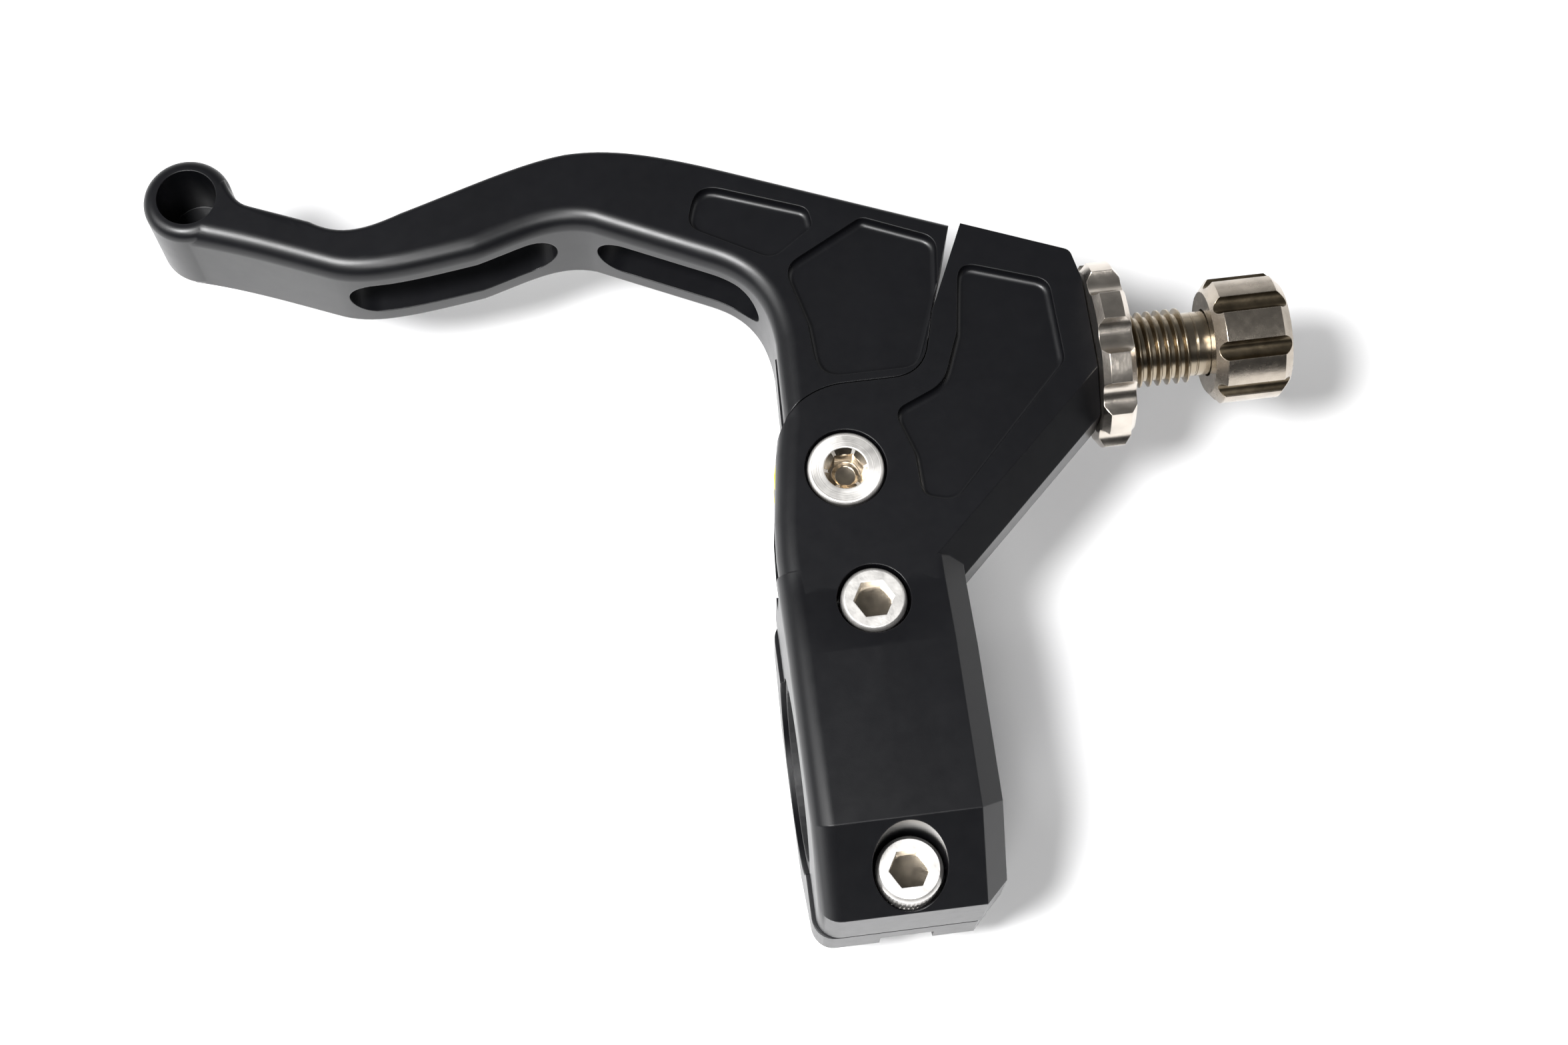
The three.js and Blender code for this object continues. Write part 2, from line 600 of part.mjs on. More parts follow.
const pivotGroup = new THREE.Group();
pivotGroup.position.set(PIVOT[0], PIVOT[1], 0);
assembly.add(pivotGroup);
place(pivotGroup, 'pivot_bolt', makePivotBolt(), STAINLESS, [0, 0, TOP_Z + 0.1]);
place(pivotGroup, 'pivot_nut', makeLockNut(), STAINLESS);
place(pivotGroup, 'pivot_nut_insert', makeNutInsert(), BLUE_NYLON);

const bearingGroup = new THREE.Group();
bearingGroup.position.z = MID_Z;
pivotGroup.add(bearingGroup);
const SLOT_HALF = SLOT_H / 2;
const BEARING_HALF = BEARING_T / 2;
place(bearingGroup, 'bearing_inner_race', makeInnerRace(), BEARING_STEEL);
place(bearingGroup, 'bearing_outer_race', makeOuterRace(), BEARING_STEEL);
place(bearingGroup, 'bearing_ball_cage', makeBallSet(), BEARING_STEEL);

for (const [level, side] of [['upper', 1], ['lower', -1]]) {
  const between = (a, b) => (side > 0 ? [a, b] : [-b, -a]);
  const shield = tube(INNER_RACE_R + 0.15, OUTER_RACE_R - 0.1, ...between(1.5, 1.8), 32);
  const spacer = tube(BEARING_BORE_R, 4.2, ...between(BEARING_HALF + PART_GAP, SLOT_HALF - PART_GAP), 32);
  const washer = tube(4.6, 9.05, ...between(TANG_T / 2 + 0.15, SLOT_HALF - 0.15), 40);
  place(bearingGroup, `bearing_shield_${level}`, shield, BEARING_STEEL);
  place(bearingGroup, `bearing_spacer_${level}`, spacer, STAINLESS);
  place(bearingGroup, `thrust_washer_${level}`, washer, YELLOW_ACETAL);
}

const adjusterGroup = new THREE.Group();
adjusterGroup.position.set(0, CABLE_Y, MID_Z);
adjusterGroup.rotation.y = Math.PI / 2;
assembly.add(adjusterGroup);
place(adjusterGroup, 'lock_wheel', makeLockWheel(), STAINLESS);
place(adjusterGroup, 'adjuster_screw', makeScrew(), ADJUSTER_STEEL);
place(adjusterGroup, 'adjuster_knob', makeKnob(), ADJUSTER_STEEL);
place(adjusterGroup, 'housing_seat', makeHousingSeat(), BLACK_NYLON);

export default assembly;
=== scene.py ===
"""Short clutch lever on its perch: the detailed model, its materials, light and camera.

Shapes are worked out in millimetres in the part's frame and become metres when a piece is made.
"""

import math

import bmesh
import bpy
from mathutils import Matrix, Vector


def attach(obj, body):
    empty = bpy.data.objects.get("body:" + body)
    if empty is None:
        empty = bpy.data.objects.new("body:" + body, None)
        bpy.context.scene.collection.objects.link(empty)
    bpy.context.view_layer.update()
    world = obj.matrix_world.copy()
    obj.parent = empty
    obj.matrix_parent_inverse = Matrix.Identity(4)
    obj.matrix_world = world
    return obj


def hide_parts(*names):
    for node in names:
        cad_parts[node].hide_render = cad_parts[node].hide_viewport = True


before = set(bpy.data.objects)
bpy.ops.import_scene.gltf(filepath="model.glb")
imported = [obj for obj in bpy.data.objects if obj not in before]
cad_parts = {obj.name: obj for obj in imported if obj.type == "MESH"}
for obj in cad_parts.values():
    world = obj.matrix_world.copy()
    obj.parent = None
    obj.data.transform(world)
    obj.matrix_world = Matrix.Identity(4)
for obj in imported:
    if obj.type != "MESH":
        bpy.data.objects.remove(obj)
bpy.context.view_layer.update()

MM = 0.001
HIGH = 60.0

# ------------------------------------------------------------------ dimensions, in millimetres

TOP_Z = 19.2
THICKNESS = 13.6
BOTTOM_Z = TOP_Z - THICKNESS
MID_Z = TOP_Z - THICKNESS / 2
LEVER_BOTTOM_Z = TOP_Z - 15.1
PIVOT = (-1.1, 34.2)
TIP = (-81.7, 82.4)
TIP_R = 5.85
CABLE_Y = 48.4
BOLT_Y = 16.5
CLAMP_END_Y = 21.4
CLAMP_TOP_Z = 20.7
HOUSING_R = 12.7
CLAMP_X = (-11.5, 12.1)
CAP_X = (-12.0, 11.7)
FACE_X = 32.9
WHEEL_X = (33.0, 37.3)
WHEEL_R = 12.2
THREAD_END_X = 45.6
NECK_LINE_X = 46.8
SCREW_END_X = 53.0
KNOB_X = (48.7, 58.8)
KNOB_R = 8.2
JOINT_GAP = 0.14

TIP_HOLE_R = 3.9
TIP_HOLE_FLOOR_Z = 8.7
SLOT_HEIGHT = 8
SLOT_Z = 11.3
TANG_HALF = 2.2
TANG_BOSS_R = 9.0
TANG_BORE_R = 6.6
NIPPLE = (4.6, 50.2)
NIPPLE_R = 3.1
NIPPLE_TOP_Z = 15.6
LEVER_POCKET_DEPTH = 1.4
PERCH_POCKET_DEPTH = 1.3
POCKET_FLOOR_ROUND = 0.85

CLAMP_SPLIT = 0.2
CLAMP_EDGE = 2.9
CAP_FLAT_Z = -17.2
BOLT_HOLE_R = 2.7
BOLT_HEAD_R = 4.15
BOLT_HEAD_DEPTH = 5.0
FRONT_HEAD_TOP = 19.6
REAR_HEAD_TOP = 14.1
BOLT_SOCKET = 4.5
PIVOT_HEAD_TOP = TOP_Z + 0.1
PIVOT_HEAD_R = 4.9
PIVOT_SHANK_R = 2.95
PIVOT_HOLE_R = 3.1
PIVOT_SOCKET = 4.0
NUT_HEX = 10.0

CABLE_BORE_R = 1.4
NECK_R = 4.2
THREAD_PITCH = 1.25
THREAD_CREST_R = 4.95
THREAD_ROOT_R = 4.2
THREAD_START_X = 24.6
FLOOR_Z = -17.3


# ------------------------------------------------------------------ outlines

class Outline:
    """A closed outline of straight runs, Bezier curves and arcs."""

    def __init__(self, x, y):
        self.points = [Vector((x, y))]

    def line(self, *points):
        self.points += [Vector(p) for p in points]
        return self

    def curve(self, control1, control2, end, steps=16):
        start = self.points[-1]
        c1, c2, end = Vector(control1), Vector(control2), Vector(end)
        for i in range(1, steps + 1):
            t = i / steps
            s = 1 - t
            self.points.append(s**3 * start + 3 * s * s * t * c1 + 3 * s * t * t * c2 + t**3 * end)
        return self

    def arc(self, centre, radius, start_deg, end_deg, steps=16):
        for i in range(steps + 1):
            angle = math.radians(start_deg + (end_deg - start_deg) * i / steps)
            self.points.append(Vector(centre) + radius * Vector((math.cos(angle), math.sin(angle))))
        return self


def cleaned(points):
    """Counter-clockwise points with no doubles."""
    kept = [p for i, p in enumerate(points) if (p - points[i - 1]).length > 1e-3]
    area = sum(kept[i - 1].cross(kept[i]) for i in range(len(kept)))
    return kept if area > 0 else kept[::-1]


def rounded(corners, steps=8):
    """Outline through (x, y) or (x, y, radius) corners."""
    points = []
    count = len(corners)
    for i, corner in enumerate(corners):
        here = Vector(corner[:2])
        radius = corner[2] if len(corner) > 2 else 0
        if radius == 0:
            points.append(here)
            continue
        back = (Vector(corners[i - 1][:2]) - here).normalized()
        ahead = (Vector(corners[(i + 1) % count][:2]) - here).normalized()
        reach = radius / math.tan(back.angle(ahead) / 2)
        for k in range(steps + 1):
            t = k / steps
            points.append(here + back * reach * (1 - t) ** 2 + ahead * reach * t * t)
    return points


def circle(radius, sides=64, centre=(0, 0)):
    turn = 2 * math.pi / sides
    return [Vector((centre[0] + radius * math.cos(i * turn), centre[1] + radius * math.sin(i * turn)))
            for i in range(sides)]


def hexagon(across_flats):
    return circle(across_flats / math.sqrt(3), 6)


def inset(points, distance):
    """The outline moved inwards by a distance, each corner along its own mitre."""
    moved = []
    count = len(points)
    for i, point in enumerate(points):
        before = (point - points[i - 1]).normalized()
        after = (points[(i + 1) % count] - point).normalized()
        normal = (before.orthogonal() + after.orthogonal()).normalized()
        stretch = 1 / max(0.35, normal.dot(before.orthogonal()))
        moved.append(point + normal * distance * stretch)
    return moved


# ------------------------------------------------------------------ solids

def object_of(bm, name="work"):
    bmesh.ops.recalc_face_normals(bm, faces=bm.faces)
    mesh = bpy.data.meshes.new(name)
    bm.to_mesh(mesh)
    bm.free()
    piece = bpy.data.objects.new(name, mesh)
    bpy.context.scene.collection.objects.link(piece)
    return piece


def skin_rings(bm, rings, closed=False):
    """Joins rings of points into a tube, with a flat face on each end unless it is closed."""
    made = [[bm.verts.new(p) for p in ring] for ring in rings]
    pairs = list(zip(made, made[1:])) + ([(made[-1], made[0])] if closed else [])
    for low, high in pairs:
        for i in range(len(low)):
            bm.faces.new((low[i - 1], low[i], high[i], high[i - 1]))
    if not closed:
        bm.faces.new(made[0][::-1])
        bm.faces.new(made[-1])


def prism(outline, z0, z1, edge=0.0, steps=1):
    """An upright prism. Its top and bottom edges are chamfered in one step or rounded in more."""
    points = cleaned(outline)
    levels = [(z0, 0.0), (z1, 0.0)]
    if edge:
        quarter = [i / steps * math.pi / 2 for i in range(steps + 1)]
        drop = [(edge * (1 - math.sin(a)), edge * (1 - math.cos(a))) for a in quarter]
        if steps == 1:
            drop = [(edge, 0.0), (0.0, edge)]
        top = [(z1 - low, side) for low, side in drop]
        bottom = [(z0 + low, side) for low, side in reversed(drop)]
        levels = bottom + top
    bm = bmesh.new()
    skin_rings(bm, [[p.to_3d() + Vector((0, 0, z)) for p in inset(points, side)] for z, side in levels])
    return object_of(bm)


def turned(profile, sides=96):
    """A solid of revolution about Z from (radius, z) points in order round its closed section."""
    bm = bmesh.new()
    rings = []
    for i in range(sides):
        angle = 2 * math.pi * i / sides
        rings.append([Vector((r * math.cos(angle), r * math.sin(angle), z)) for r, z in profile])
    skin_rings(bm, rings, closed=True)
    bmesh.ops.remove_doubles(bm, verts=bm.verts, dist=1e-5)
    return object_of(bm)


def disc(radius, z0, z1, sides=64):
    return prism(circle(radius, sides), z0, z1)


def block(x0, y0, z0, x1, y1, z1):
    return prism([Vector((x0, y0)), Vector((x1, y0)), Vector((x1, y1)), Vector((x0, y1))], z0, z1)


def moved(piece, matrix):
    piece.data.transform(matrix)
    return piece


def shifted(piece, x, y, z=0.0):
    return moved(piece, Matrix.Translation((x, y, z)))


def along_x(piece):
    """Turns a piece built about Z so that its Z lies along X."""
    return moved(piece, Matrix.Rotation(math.radians(90), 4, "Y"))


def combine(body, tools, operation):
    """Boolean of a body with each tool in turn. The tools are used up."""
    for tool in tools:
        modifier = body.modifiers.new("cut", "BOOLEAN")
        modifier.operation = operation
        modifier.solver = "EXACT"
        modifier.object = tool
        bpy.context.view_layer.update()
        result = bpy.data.meshes.new_from_object(body.evaluated_get(bpy.context.evaluated_depsgraph_get()))
        body.modifiers.clear()
        body.data = result
        bpy.data.objects.remove(tool)
    return body


def cut(body, *tools):
    return combine(body, tools, "DIFFERENCE")


def shared(body, *tools):
    return combine(body, tools, "INTERSECT")


def joined(body, *tools):
    return combine(body, tools, "UNION")


def finished(piece, name, nodes, body, material, smooth_deg=28):
    """Turns a millimetre solid into a named piece in metres that stands for its CAD nodes."""
    piece.name = name
    mesh = piece.data
    mesh.transform(Matrix.Scale(MM, 4))
    bm = bmesh.new()
    bm.from_mesh(mesh)
    bmesh.ops.remove_doubles(bm, verts=bm.verts, dist=2e-6)
    bm.to_mesh(mesh)
    bm.free()
    mesh.materials.clear()
    mesh.materials.append(material)
    for polygon in mesh.polygons:
        polygon.material_index = 0
        polygon.use_smooth = True
    mesh.set_sharp_from_angle(angle=math.radians(smooth_deg))
    even = piece.modifiers.new("even_shading", "WEIGHTED_NORMAL")
    even.keep_sharp = True
    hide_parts(*nodes)
    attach(piece, body)
    return piece


# ------------------------------------------------------------------ materials

class Recipe:
    """Small helper that builds a node material round one Principled shader."""

    def __init__(self, name, **fixed):
        self.material = bpy.data.materials.new(name)
        self.material.use_nodes = True
        self.tree = self.material.node_tree
        self.shader = self.tree.nodes["Principled BSDF"]
        for socket, value in fixed.items():
            self.shader.inputs[socket.replace("_", " ")].default_value = value
        self.where = self.add("ShaderNodeTexCoord").outputs["Object"]

    def add(self, kind, inputs=None, **settings):
        node = self.tree.nodes.new(kind)
        for key, value in settings.items():
            setattr(node, key, value)
        for key, value in (inputs or {}).items():
            if isinstance(value, bpy.types.NodeSocket):
                self.tree.links.new(value, node.inputs[key])
            else:
                node.inputs[key].default_value = value
        return node

    def noise(self, scale, detail=3.0, roughness=0.5):
        return self.add("ShaderNodeTexNoise", {
            "Vector": self.where, "Scale": scale, "Detail": detail, "Roughness": roughness,
        }).outputs["Fac"]

    def ranged(self, value, low, high):
        """A noise value, which lies mostly between 0.3 and 0.7, spread from low to high."""
        return self.add("ShaderNodeMapRange", {
            "Value": value, "From Min": 0.3, "From Max": 0.7, "To Min": low, "To Max": high,
        }).outputs[0]

    def ramp(self, value, stops):
        node = self.add("ShaderNodeValToRGB", {"Fac": value})
        elements = node.color_ramp.elements
        while len(elements) < len(stops):
            elements.new(0.5)
        for element, (position, colour) in zip(elements, stops):
            element.position = position
            element.color = (*colour, 1.0)
        return node.outputs[0]

    def bump(self, height, strength, distance, normal):
        return self.add("ShaderNodeBump", {
            "Height": height, "Strength": strength, "Distance": distance, "Normal": normal,
        }).outputs[0]

    def soft_edges(self, radius):
        return self.add("ShaderNodeBevel", {"Radius": radius}, samples=6).outputs[0]

    def send(self, value, socket):
        self.tree.links.new(value, self.shader.inputs[socket])


def anodised(name, tint):
    """Satin black anodised aluminium: a fine blasted grain, a faint ripple and faint mottling."""
    recipe = Recipe(name, Metallic=0.0, IOR=1.5)
    recipe.shader.inputs["Specular IOR Level"].default_value = 0.35
    mottle = recipe.noise(55.0, 4.0)
    ripple = recipe.noise(900.0, 2.0, 0.6)
    dark = [c * 0.9 for c in tint]
    light = [c * 1.15 for c in tint]
    recipe.send(recipe.ramp(mottle, [(0.3, dark), (0.7, light)]), "Base Color")
    recipe.send(recipe.ranged(recipe.noise(420.0, 5.0, 0.65), 0.325, 0.36), "Roughness")
    grain = recipe.noise(9000.0, 2.0, 0.7)
    edges = recipe.soft_edges(0.00022)
    blasted = recipe.bump(grain, 0.16, 0.00004, edges)
    recipe.send(recipe.bump(ripple, 0.05, 0.00005, blasted), "Normal")
    return recipe.material


GRAIN = 2600.0
RING_MARKS = 7800.0
PLASTIC_GRAIN = 2500.0


def machined(name, colour, roughness, axis_point=None, axis="Z", tone=0.05, brushed=0.0):
    """Bright steel with faint stains and soft edges, and turned rings if its axis is given, else a grain."""
    recipe = Recipe(name, Metallic=1.0, Anisotropic=brushed)
    if brushed:
        around = recipe.add("ShaderNodeTangent", direction_type="RADIAL", axis=axis)
        recipe.send(around.outputs[0], "Tangent")
    dark = [c * (1 - tone) for c in colour]
    light = [min(1.0, c * (1 + tone)) for c in colour]
    recipe.send(recipe.ramp(recipe.noise(420.0, 4.0), [(0.3, dark), (0.7, light)]), "Base Color")
    recipe.send(recipe.ranged(recipe.noise(700.0, 4.0, 0.6), roughness * 0.9, roughness * 1.12), "Roughness")
    edges = recipe.soft_edges(0.00012)
    if axis_point is None:
        height = recipe.noise(GRAIN, 2.0, 0.6)
    else:
        centred = recipe.add("ShaderNodeMapping", {
            "Vector": recipe.where, "Location": tuple(-c for c in axis_point),
        }, vector_type="POINT").outputs[0]
        flatten = {"Z": (1, 1, 0), "X": (0, 1, 1)}[axis]
        radial = recipe.add("ShaderNodeVectorMath", {0: centred, 1: flatten}, operation="MULTIPLY").outputs[0]
        radius = recipe.add("ShaderNodeVectorMath", {0: radial}, operation="LENGTH").outputs["Value"]
        height = recipe.add("ShaderNodeTexNoise", {"W": radius, "Scale": RING_MARKS, "Detail": 2.0},
                            noise_dimensions="1D").outputs["Fac"]
    recipe.send(recipe.bump(height, 0.35, 0.00003, edges), "Normal")
    return recipe.material


def plastic(name, colour, roughness):
    """Matt plastic with a fine grain."""
    recipe = Recipe(name, IOR=1.48)
    dark = [c * 0.82 for c in colour]
    light = [min(1.0, c * 1.12) for c in colour]
    recipe.send(recipe.ramp(recipe.noise(260.0, 3.0), [(0.3, dark), (0.7, light)]), "Base Color")
    recipe.send(recipe.ranged(recipe.noise(800.0, 3.0), roughness * 0.85, roughness * 1.15), "Roughness")
    grain = recipe.noise(PLASTIC_GRAIN, 2.0)
    recipe.send(recipe.bump(grain, 0.25, 0.00004, recipe.soft_edges(0.0002)), "Normal")
    return recipe.material


BLACK = (0.0024, 0.0025, 0.0034)
PERCH_BLACK = anodised("perch_black", BLACK)
LEVER_BLACK = anodised("lever_black", BLACK)
CAP_BLACK = anodised("cap_black", BLACK)
STEEL = (0.82, 0.80, 0.77)
PIVOT_STEEL = machined("pivot_steel", STEEL, 0.46, (PIVOT[0] * MM, PIVOT[1] * MM, 0), brushed=0.35)
BOLT_STEEL = machined("bolt_steel", (0.84, 0.82, 0.79), 0.42)
WHEEL_STEEL = machined("wheel_steel", (0.60, 0.55, 0.49), 0.24, tone=0.12)
SCREW_STEEL = machined("screw_steel", (0.33, 0.28, 0.21), 0.24, (0, CABLE_Y * MM, MID_Z * MM), "X")
KNOB_STEEL = machined("knob_steel", (0.44, 0.39, 0.33), 0.26, tone=0.16)
NUT_STEEL = machined("nut_steel", (0.62, 0.62, 0.62), 0.3)
# Darker, browner steel used as painted shade inside the hex sockets.
SOCKET_SHADE_STEEL = machined("socket_painted_shade", (0.44, 0.38, 0.30), 0.2, tone=0.3)
# Dark brown steel used as painted shade in the knob's flutes.
GROOVE_SHADE_STEEL = machined("groove_painted_shade", (0.15, 0.12, 0.08), 0.3, tone=0.3)
RACE_STEEL = machined("race_steel", (0.6, 0.6, 0.6), 0.15, (PIVOT[0] * MM, PIVOT[1] * MM, 0))
SLEEVE_BLACK = plastic("sleeve_black", (0.012, 0.012, 0.013), 0.6)
SEAT_BLACK = plastic("seat_black", (0.014, 0.014, 0.015), 0.5)
WASHER_YELLOW = plastic("washer_yellow", (0.78, 0.62, 0.02), 0.45)
INSERT_BLUE = plastic("insert_blue", (0.03, 0.09, 0.32), 0.5)


# ------------------------------------------------------------------ lever

def finger_edge(outline):
    return (
        outline.curve((-76.0, 74.9), (-70.0, 72.0), (-64.0, 69.5))
        .curve((-59.5, 67.8), (-54.0, 68.6), (-45.0, 69.9))
        .curve((-39.5, 71.4), (-34.5, 73.8), (-29.6, 72.0))
        .line((-14.6, 64.8))
        .curve((-10.2, 62.6), (-7.9, 59.4), (-7.6, 53.0))
    )


def perch_side(shift, wedge_top_x):
    """Everything on the perch's side of the line where the lever meets the perch."""
    radius = 10.55 + shift
    low = 35.2
    corner = (10.5 - shift, low + radius)
    outline = Outline(wedge_top_x, 70).line((12.95 - shift, 54.6), (11.6 - shift, 49.6))
    outline.curve(Vector((11.6 - shift, 49.6)).lerp(Vector(corner), 2 / 3),
                  Vector((6.6, low + radius)).lerp(Vector(corner), 2 / 3), (6.6, low + radius), 12)
    outline.line((0.3, low + radius)).arc((0.3, low), radius, 90, 152, 20)
    return outline.line((-30, 32), (-30, -40), (60, -40), (60, 70)).points


def finger_slot(length):
    """A cutter with round ends that runs along X and passes through the blade from front to back."""
    radius = SLOT_HEIGHT / 2
    half = length / 2 - radius
    outline = Outline(-half, -radius).line((half, -radius))
    outline.arc((half, 0), radius, -90, 90).line((-half, radius)).arc((-half, 0), radius, 90, 270)
    return moved(prism(outline.points, -HIGH / 2, HIGH / 2), Matrix.Rotation(math.radians(90), 4, "X"))


LEVER_LARGE_POCKET = [
    (-5.4, 62.9, 3), (5.6, 68.8, 1.6), (15.0, 64.7, 2.6), (14.0, 57.0, 3), (10.2, 46.9, 3),
    (-2.9, 46.9, 3.6), (-3.3, 54.6, 5),
]
LEVER_SMALL_POCKET = [
    (-17.2, 70.2, 2.4), (-15.3, 76.3, 3.2), (-1.2, 71.0, 1.8), (-0.8, 68.3, 1.3), (-6.6, 64.2, 2.8),
]


def pocket(corners, top, depth):
    """A cutter with steep walls and a rounded floor edge, as an end mill leaves."""
    outline = cleaned(rounded(corners))
    arc = [i / 6 * math.pi / 2 for i in range(7)]
    levels = [
        (top - depth + POCKET_FLOOR_ROUND * (1 - math.cos(a)), POCKET_FLOOR_ROUND * (1 - math.sin(a)))
        for a in arc
    ]
    levels.append((top + 3, 0.0))
    bm = bmesh.new()
    skin_rings(bm, [[p.to_3d() + Vector((0, 0, z)) for p in inset(outline, side)] for z, side in levels])
    return object_of(bm)


def make_lever():
    outline = Outline(18.2, 65.9).line((-10.3, 77.5)).curve((-20, 81.5), (-26, 83.2), (-32, 82.9))
    outline.curve((-38, 82.4), (-46, 79.4), (-54.1, 77.0)).curve((-58.5, 75.4), (-62, 74.4), (-66, 77.2))
    outline.line((-73.6, 80.4)).curve((-75.2, 81.0), (-75.9, 82.3), (-76.6, 84.6), 8)
    outline.line((-80.0, 84.0), (-83.7, 77.1))
    finger_edge(outline).line((-8.5, 38.0), (24, 38.0))
    region = finger_edge(Outline(-110, 120).line((-110, 86.7), (-83.7, 77.1)))
    region.line((-8.5, 20.0), (60, 20.0), (60, 120))
    blade = shared(prism(outline.points, LEVER_BOTTOM_Z, TOP_Z, 0.8, 4),
                   prism(region.points, LEVER_BOTTOM_Z - 5, TOP_Z, 2.6, 10))
    blade = joined(blade, prism(circle(TIP_R, 80, TIP), LEVER_BOTTOM_Z, TOP_Z, 1.6, 8))
    blade = cut(blade, prism(perch_side(JOINT_GAP / 2, 18.15), -HIGH, HIGH))
    tang = rounded([(-7.8, 52), (-8.2, 41), (PIVOT[0] - 8.8, PIVOT[1]), (7.6, PIVOT[1]), (9, 45, 1), (9, 52)])
    tang_z = (MID_Z - TANG_HALF, MID_Z + TANG_HALF)
    blade = joined(blade, prism(tang, *tang_z), shifted(disc(TANG_BOSS_R, *tang_z, 96), *PIVOT))
    cable_slot = [Vector(p) for p in ((NIPPLE[0], 47.1), (20, 47.1), (20, 49.7), (NIPPLE[0], 50.8))]
    short_slot = moved(finger_slot(23.4), Matrix.Rotation(math.radians(-22), 4, "Z"))
    return cut(
        blade,
        shifted(disc(TANG_BORE_R, -HIGH, HIGH, 96), *PIVOT),
        shifted(disc(TIP_HOLE_R, TIP_HOLE_FLOOR_Z, HIGH, 64), *TIP),
        shifted(finger_slot(28), -48.4, 75, SLOT_Z),
        shifted(short_slot, -16.4, 72.2, SLOT_Z),
        pocket(LEVER_LARGE_POCKET, TOP_Z, LEVER_POCKET_DEPTH),
        pocket(LEVER_SMALL_POCKET, TOP_Z, LEVER_POCKET_DEPTH),
        shifted(disc(NIPPLE_R, -HIGH, NIPPLE_TOP_Z, 48), *NIPPLE),
        prism(cable_slot, -HIGH, MID_Z + 1.4),
    )


# ------------------------------------------------------------------ perch

PERCH_POCKET = [
    (17.2, 60.9, 2.2), (28.6, 56.9, 2.4), (28.9, 45.4, 2.4), (12.2, 28.2, 3), (8.0, 29.4, 2),
    (7.9, 35.0, 4), (6.0, 41.2, 2), (12.9, 44.2, 5), (15.6, 51.0, 3),
]


def clamp_block(side_view, x_range, z_range):
    """The side view run along the bar, its left edges rounded and its right edges chamfered."""
    turn = Matrix.Rotation(math.radians(90), 4, "Z") @ Matrix.Rotation(math.radians(90), 4, "X")
    outline = [Vector(p) for p in side_view]
    x0, x1 = x_range
    halves = []
    for steps, keep in ((8, (x0 - 1, 0.5)), (1, (-0.5, x1 + 1))):
        half = moved(prism(outline, x0, x1, CLAMP_EDGE, steps), turn)
        halves.append(shared(half, block(keep[0], -HIGH, z_range[0], keep[1], CLAMP_END_Y, z_range[1])))
    return joined(*halves)


def bolt_hole(y):
    return shifted(disc(BOLT_HOLE_R, -HIGH, HIGH, 48), 0, y)


def bolt_recess(y, floor):
    return joined(bolt_hole(y), shifted(disc(BOLT_HEAD_R + 0.5, floor, HIGH, 72), 0, y))


def make_perch():
    plan = rounded([
        (14.0, 68.1), (32.0, 60.8, 1.4), (FACE_X, 56.5, 2), (FACE_X, 38.9), (11.9, 19.2), (11.9, 12),
        (-11.2, 12), (-11.2, 24), (-10.9, 28.6), (-9.6, 37.5), (-8.6, 42), (-8.6, 70),
    ])
    left = rounded([
        (60, -30), (60, 90), (-8.6, 90), (-8.6, 42), (-9.6, 37.5), (-10.9, 28.6), (-11.2, 24), (-11.2, -30),
    ])
    diagonal = [Vector(p) for p in
                ((-60, 90), (-60, -30), (11.9, -30), (11.9, 19.2), (53.2, 57.83), (53.2, 90))]
    plate = shared(
        prism(plan, BOTTOM_Z, TOP_Z),
        prism(left, BOTTOM_Z, TOP_Z, 2.8, 8),
        prism(diagonal, BOTTOM_Z, TOP_Z, 3.8),
        prism(perch_side(-JOINT_GAP / 2, 20.1), -HIGH, HIGH),
    )
    upper_side = [
        (-CLAMP_END_Y, -10), (-CLAMP_END_Y, 10.8), (-11.5, CLAMP_TOP_Z), (10.0, CLAMP_TOP_Z), (18.2, TOP_Z),
        (CLAMP_END_Y, TOP_Z), (CLAMP_END_Y + 12, TOP_Z), (CLAMP_END_Y + 12, -10),
    ]
    body = joined(plate, clamp_block(upper_side, CLAMP_X, (CLAMP_SPLIT, HIGH)))
    tang_slot = rounded([
        (-30, 19.6), (-8.5, 19.6), (-4.6, 23.4, 1.5), (5.2, 23.6, 3), (9.2, 28.4, 4), (9.4, 38.0),
        (10.6, 46.0), (10.6, 60), (-30, 60),
    ])
    nut_recess = prism(hexagon(NUT_HEX + 0.4), -HIGH, BOTTOM_Z + 1.4)
    return cut(
        body,
        along_x(disc(HOUSING_R, -HIGH, HIGH, 128)),
        prism(tang_slot, MID_Z - 3.3, MID_Z + 3.3),
        pocket(PERCH_POCKET, TOP_Z, PERCH_POCKET_DEPTH),
        shifted(disc(PIVOT_HOLE_R, -HIGH, HIGH, 64), *PIVOT),
        shifted(disc(PIVOT_HEAD_R + 0.35, TOP_Z - 1.9, HIGH, 96), *PIVOT),
        shifted(nut_recess, *PIVOT),
        bolt_recess(BOLT_Y, 14.5),
        bolt_recess(-BOLT_Y, 9.0),
        shifted(along_x(disc(5.0, 17.4, HIGH, 72)), 0, CABLE_Y, MID_Z),
        block(8, CABLE_Y - 1.5, -HIGH, 18.4, CABLE_Y + 1.5, MID_Z + 1.5),
    )


def make_cap():
    lower_side = [
        (-CLAMP_END_Y, 10), (-CLAMP_END_Y, -6.9), (-11.4, CAP_FLAT_Z), (11.4, CAP_FLAT_Z),
        (CLAMP_END_Y, -6.9), (CLAMP_END_Y, 10),
    ]
    body = clamp_block(lower_side, CAP_X, (-HIGH, -CLAMP_SPLIT))
    return cut(
        body,
        along_x(disc(HOUSING_R, -HIGH, HIGH, 128)),
        bolt_hole(BOLT_Y),
        bolt_hole(-BOLT_Y),
        block(-3.45, -HIGH, -HIGH, 3.45, -14.2, -3.7),
        block(-3.45, 14.2, -HIGH, 3.45, HIGH, -3.7),
    )


# ------------------------------------------------------------------ fasteners

